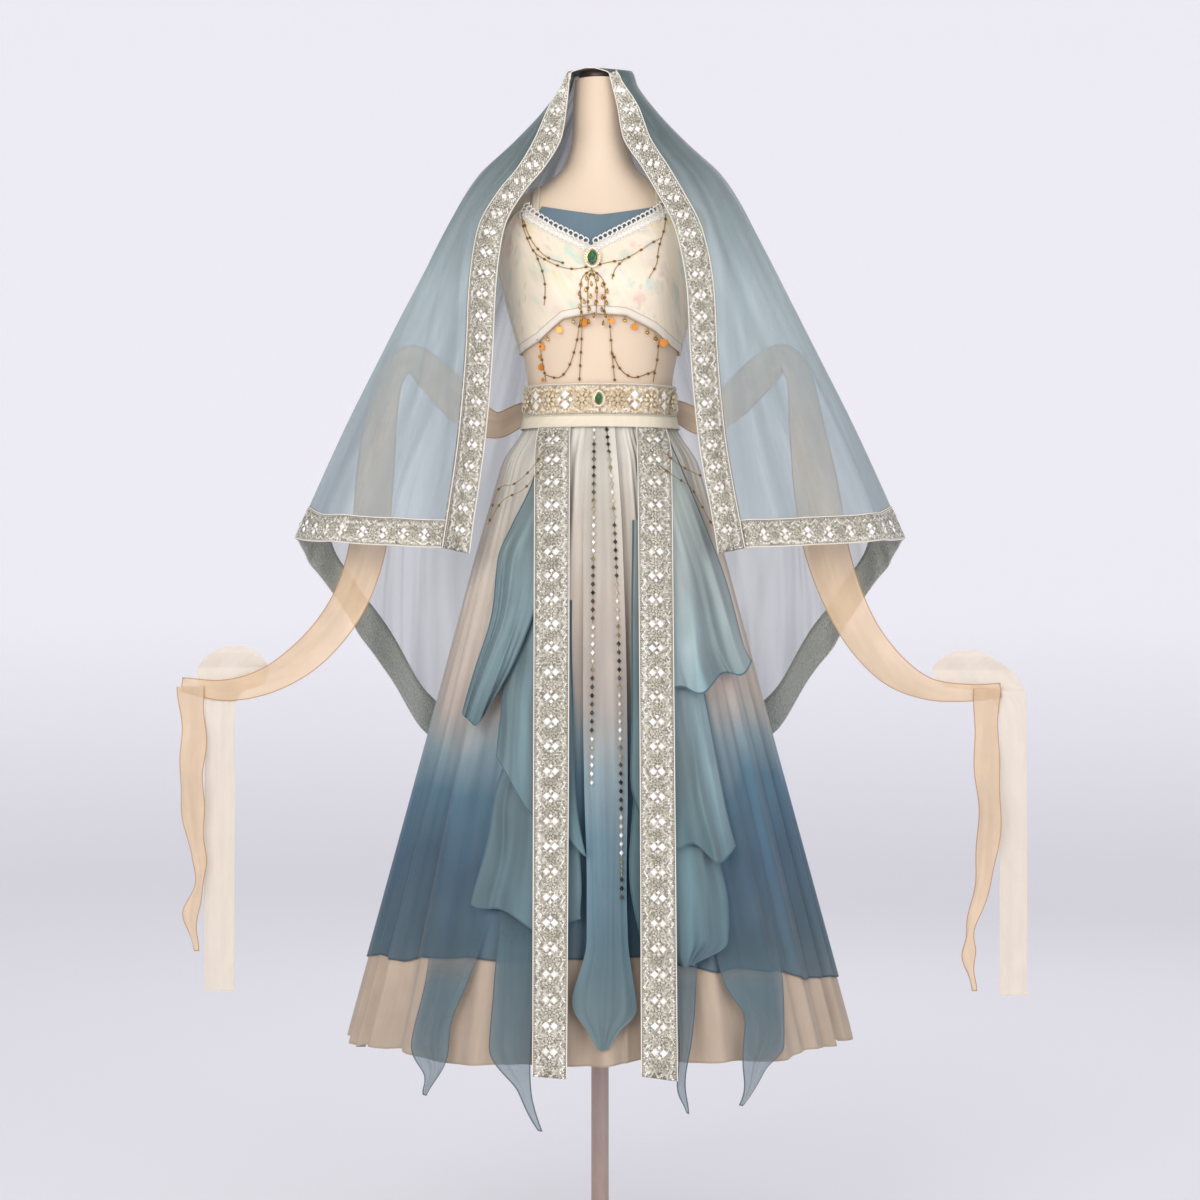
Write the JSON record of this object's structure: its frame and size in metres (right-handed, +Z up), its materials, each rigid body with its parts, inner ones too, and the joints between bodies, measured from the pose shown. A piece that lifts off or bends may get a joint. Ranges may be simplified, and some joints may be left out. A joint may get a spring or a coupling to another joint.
{
  "type": "dance hanfu set on a limbless dress form",
  "caption": "Dance hanfu set of cropped top, belt, gathered skirt with cascades, sheer head veil and long arm sash, draped on a limbless dress form on a pole stand.",
  "frame": {"origin": "on the floor at the middle of the stand's round base", "axes": "+Z up, the garment's front faces -Y and the viewer's right is +X"},
  "size_m": [1.3563, 0.6519, 1.8845],
  "materials": {
    "form_cover": "smooth knitted cover, matte",
    "cap_wood": "dark satin wood",
    "stand_metal": "satin paint",
    "top_satin": "champagne jacquard satin with a pastel floral",
    "panel_teal": "matte slate teal",
    "white_lace": "scalloped lace edging",
    "coin_metal": "polished thin coins",
    "brooch_metal": "polished, set with small clear stones",
    "green_stone": "clear cut stone",
    "sequin_trim": "net edging with sequins, cord piping and thread",
    "waistband_satin": "plain cream satin",
    "skirt_chiffon": "dip-dyed chiffon, beige to blue",
    "lining_chiffon": "sheer cream chiffon",
    "cascade_chiffon": "sheer teal chiffon",
    "veil_chiffon": "sheer blue-grey chiffon",
    "sash_chiffon": "tan chiffon",
    "sash_pale": "pale sheer chiffon",
    "bead_metal": "strung metal sequins"
  },
  "bodies": {
    "root": {"form_torso": "form_cover", "form_cap": "cap_wood", "form_pole": "stand_metal", "form_base": "stand_metal", "bodice_front": "top_satin", "bodice_back": "top_satin", "strap_left": "top_satin", "strap_right": "top_satin", "modesty_panel": "panel_teal", "lace_left": "white_lace", "lace_right": "white_lace", "coin_trim": "coin_metal", "brooch_bust": "brooch_metal", "brooch_belt": "brooch_metal", "stone_bust": "green_stone", "stone_belt": "green_stone", "belt": "sequin_trim", "waistband": "waistband_satin", "skirt": "skirt_chiffon", "underskirt": "lining_chiffon", "centre_panel": "skirt_chiffon", "cascade_left_top": "cascade_chiffon", "cascade_left_middle": "cascade_chiffon", "cascade_left_low": "cascade_chiffon", "cascade_right_top": "cascade_chiffon", "cascade_right_middle": "cascade_chiffon", "cascade_right_low": "cascade_chiffon", "tail_left_outer": "cascade_chiffon", "tail_left_inner": "cascade_chiffon", "tail_right_inner": "cascade_chiffon", "tail_right_outer": "cascade_chiffon", "front_band_left": "sequin_trim", "front_band_right": "sequin_trim", "bead_strip_left": "bead_metal", "bead_strip_right": "bead_metal", "veil": "veil_chiffon", "veil_trim_front_left": "sequin_trim", "veil_trim_front_right": "sequin_trim", "veil_trim_end_left": "sequin_trim", "veil_trim_end_right": "sequin_trim", "veil_trim_back": "sequin_trim", "sash_back": "sash_chiffon", "sash_arm_left": "sash_chiffon", "sash_arm_right": "sash_chiffon", "sash_end_left": "sash_chiffon", "sash_end_right": "sash_chiffon", "sash_fold_left": "sash_pale", "sash_fold_right": "sash_pale"}
  },
  "joints": []
}
